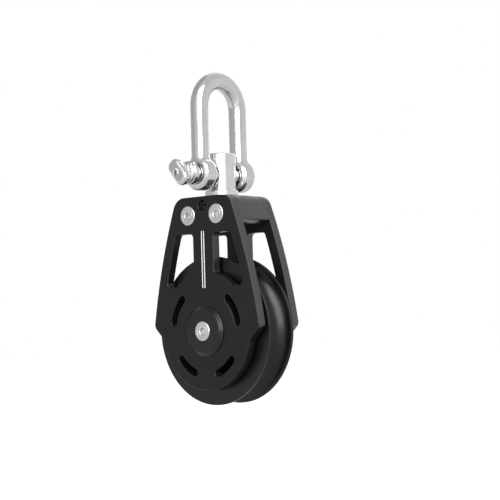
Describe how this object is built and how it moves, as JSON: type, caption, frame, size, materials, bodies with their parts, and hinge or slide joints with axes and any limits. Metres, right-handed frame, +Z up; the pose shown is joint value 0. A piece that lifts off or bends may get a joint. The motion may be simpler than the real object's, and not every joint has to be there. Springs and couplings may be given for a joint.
{
  "type": "single sheave block",
  "caption": "Single sheave block for rope: two slotted cheek plates on a swivelling stainless bow shackle, with a grooved sheave on a roller bearing.",
  "frame": {"origin": "centre of the swivel post's flat top face, on the swivel axis", "axes": "+Z up along the swivel axis, from the sheave to the shackle; the sheave axle and the shackle pin run along Y; the pin's thumb head is on the -Y side, the front; X is across the cheeks"},
  "size_m": [0.061, 0.0414, 0.1379],
  "materials": {
    "black_anodised": "bead-blasted, hard anodised black",
    "black_anodised_turned": "turned, hard anodised black",
    "polished_stainless": "polished stainless steel",
    "ground_stainless": "ground stainless steel",
    "satin_screw": "satin stainless steel",
    "bearing_plastic": "natural bearing polymer",
    "washer_plastic": "white low-friction plastic"
  },
  "bodies": {
    "frame": {"cheek_plate_front": "black_anodised", "cheek_plate_rear": "black_anodised", "head_block": "black_anodised", "head_screw_front_left": "satin_screw", "head_screw_front_right": "satin_screw", "head_screw_rear_left": "satin_screw", "head_screw_rear_right": "satin_screw", "hub_cap_front": "black_anodised", "hub_cap_rear": "black_anodised", "axle": "ground_stainless", "axle_screw_front": "satin_screw", "axle_screw_rear": "satin_screw", "inner_race": "ground_stainless", "thrust_washer_front": "washer_plastic", "thrust_washer_rear": "washer_plastic", "swivel_washer_upper": "washer_plastic"},
    "swivel": {"swivel_post": "polished_stainless", "swivel_nut": "ground_stainless", "swivel_washer_lower": "washer_plastic"},
    "shackle": {"shackle_bow": "polished_stainless"},
    "pin": {"shackle_pin": "polished_stainless"},
    "sheave_body": {"sheave": "black_anodised_turned"},
    "cage": {"roller_cage": "bearing_plastic"},
    "lock_screw": {"swivel_lock_screw": "satin_screw"},
    "roller_1": {"bearing_roller_1": "ground_stainless"},
    "roller_2": {"bearing_roller_2": "ground_stainless"},
    "roller_3": {"bearing_roller_3": "ground_stainless"},
    "roller_4": {"bearing_roller_4": "ground_stainless"},
    "roller_5": {"bearing_roller_5": "ground_stainless"},
    "roller_6": {"bearing_roller_6": "ground_stainless"},
    "roller_7": {"bearing_roller_7": "ground_stainless"},
    "roller_8": {"bearing_roller_8": "ground_stainless"}
  },
  "joints": [
    {"name": "sheave_spin", "type": "hinge", "parent": "frame", "child": "sheave_body", "pos_m": [0, 0, -0.0733], "axis": [0, 1, 0], "continuous": true},
    {"name": "cage_orbit", "type": "hinge", "parent": "frame", "child": "cage", "pos_m": [0, 0, -0.0733], "axis": [0, 1, 0], "continuous": true},
    {"name": "swivel_turn", "type": "hinge", "parent": "frame", "child": "swivel", "pos_m": [0, 0, 0], "axis": [0, 0, 1], "continuous": true},
    {"name": "shackle_tilt", "type": "hinge", "parent": "swivel", "child": "shackle", "pos_m": [0, 0, -0.0089], "axis": [0, 1, 0], "range_deg": [-108, 108]},
    {"name": "pin_withdraw", "type": "slide", "parent": "shackle", "child": "pin", "axis": [0, -1, 0], "range_m": [-0.0018, 0.032]},
    {"name": "lock_screw_travel", "type": "slide", "parent": "frame", "child": "lock_screw", "axis": [0, 1, 0], "range_m": [-0.0035, 0.0005]},
    {"name": "roller_1_roll", "type": "hinge", "parent": "cage", "child": "roller_1", "pos_m": [0.0083, 0, -0.0733], "axis": [0, 1, 0], "continuous": true},
    {"name": "roller_2_roll", "type": "hinge", "parent": "cage", "child": "roller_2", "pos_m": [0.00587, 0, -0.07917], "axis": [0, 1, 0], "continuous": true},
    {"name": "roller_3_roll", "type": "hinge", "parent": "cage", "child": "roller_3", "pos_m": [0, 0, -0.0816], "axis": [0, 1, 0], "continuous": true},
    {"name": "roller_4_roll", "type": "hinge", "parent": "cage", "child": "roller_4", "pos_m": [-0.00587, 0, -0.07917], "axis": [0, 1, 0], "continuous": true},
    {"name": "roller_5_roll", "type": "hinge", "parent": "cage", "child": "roller_5", "pos_m": [-0.0083, 0, -0.0733], "axis": [0, 1, 0], "continuous": true},
    {"name": "roller_6_roll", "type": "hinge", "parent": "cage", "child": "roller_6", "pos_m": [-0.00587, 0, -0.06743], "axis": [0, 1, 0], "continuous": true},
    {"name": "roller_7_roll", "type": "hinge", "parent": "cage", "child": "roller_7", "pos_m": [0, 0, -0.065], "axis": [0, 1, 0], "continuous": true},
    {"name": "roller_8_roll", "type": "hinge", "parent": "cage", "child": "roller_8", "pos_m": [0.00587, 0, -0.06743], "axis": [0, 1, 0], "continuous": true}
  ],
  "couplings": [
    {"joint": "cage_orbit", "follows": "sheave_spin", "ratio": 0.62651},
    {"joint": "roller_1_roll", "follows": "sheave_spin", "ratio": 1.8497},
    {"joint": "roller_2_roll", "follows": "sheave_spin", "ratio": 1.8497},
    {"joint": "roller_3_roll", "follows": "sheave_spin", "ratio": 1.8497},
    {"joint": "roller_4_roll", "follows": "sheave_spin", "ratio": 1.8497},
    {"joint": "roller_5_roll", "follows": "sheave_spin", "ratio": 1.8497},
    {"joint": "roller_6_roll", "follows": "sheave_spin", "ratio": 1.8497},
    {"joint": "roller_7_roll", "follows": "sheave_spin", "ratio": 1.8497},
    {"joint": "roller_8_roll", "follows": "sheave_spin", "ratio": 1.8497}
  ]
}
